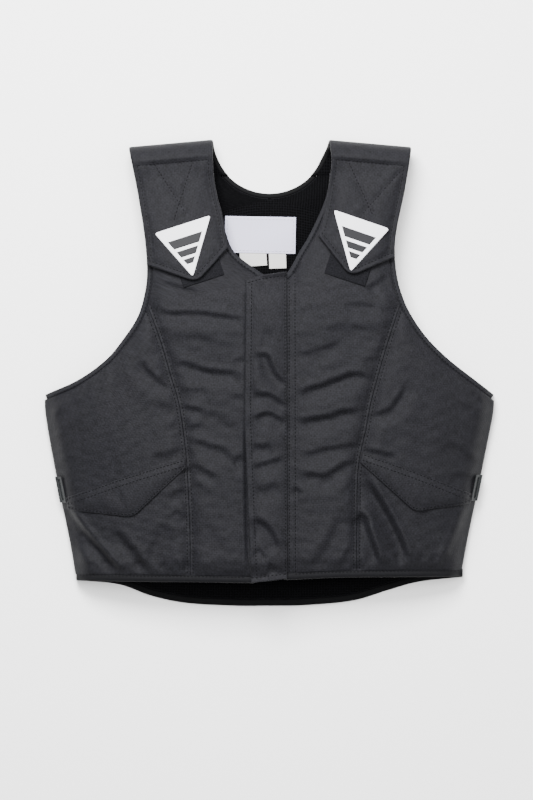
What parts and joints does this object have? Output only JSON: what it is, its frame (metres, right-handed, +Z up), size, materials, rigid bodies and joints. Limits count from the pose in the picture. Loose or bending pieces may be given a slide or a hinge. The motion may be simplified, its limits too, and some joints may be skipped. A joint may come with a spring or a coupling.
{
  "type": "rodeo vest",
  "caption": "Padded riding and rodeo protective vest with a front fly, folded shoulder straps on loop tape, pointed pocket flaps and side adjusters, lying flat on its back.",
  "frame": {"origin": "under the middle of the vest, on the surface that it lies on", "axes": "+X towards the wearer's left, +Y from the hems to the shoulders, +Z up out of the front"},
  "size_m": [0.5401, 0.5595, 0.0711],
  "materials": {
    "ballistic_nylon": "woven nylon, dull sheen",
    "binding_tape": "folded woven tape, matt",
    "mesh_lining": "knitted mesh, matt",
    "loop_tape": "pile, matt",
    "badge_rubber": "moulded, satin",
    "woven_label": "woven, matt",
    "printed_tag": "woven, matt",
    "webbing": "woven webbing, matt",
    "moulded_plastic": "moulded, satin"
  },
  "bodies": {
    "root": {"back_hem_band": "binding_tape", "back_lining": "mesh_lining", "back_neck_binding": "binding_tape", "back_panel": "ballistic_nylon", "care_tag": "printed_tag", "front_placket": "ballistic_nylon", "left_armhole_binding": "binding_tape", "left_back_armhole_binding": "binding_tape", "left_front_centre_panel": "ballistic_nylon", "left_front_side_panel": "ballistic_nylon", "left_hem_band": "binding_tape", "left_loop_tape": "loop_tape", "left_neck_binding": "binding_tape", "left_pocket_flap": "ballistic_nylon", "left_shoulder_strap": "ballistic_nylon", "left_side_slide": "moulded_plastic", "left_side_tab": "webbing", "left_strap_badge": "badge_rubber", "neck_label": "woven_label", "right_armhole_binding": "binding_tape", "right_back_armhole_binding": "binding_tape", "right_front_centre_panel": "ballistic_nylon", "right_front_side_panel": "ballistic_nylon", "right_hem_band": "binding_tape", "right_loop_tape": "loop_tape", "right_neck_binding": "binding_tape", "right_pocket_flap": "ballistic_nylon", "right_shoulder_strap": "ballistic_nylon", "right_side_slide": "moulded_plastic", "right_side_tab": "webbing", "right_strap_badge": "badge_rubber", "size_tag": "printed_tag"}
  },
  "joints": []
}
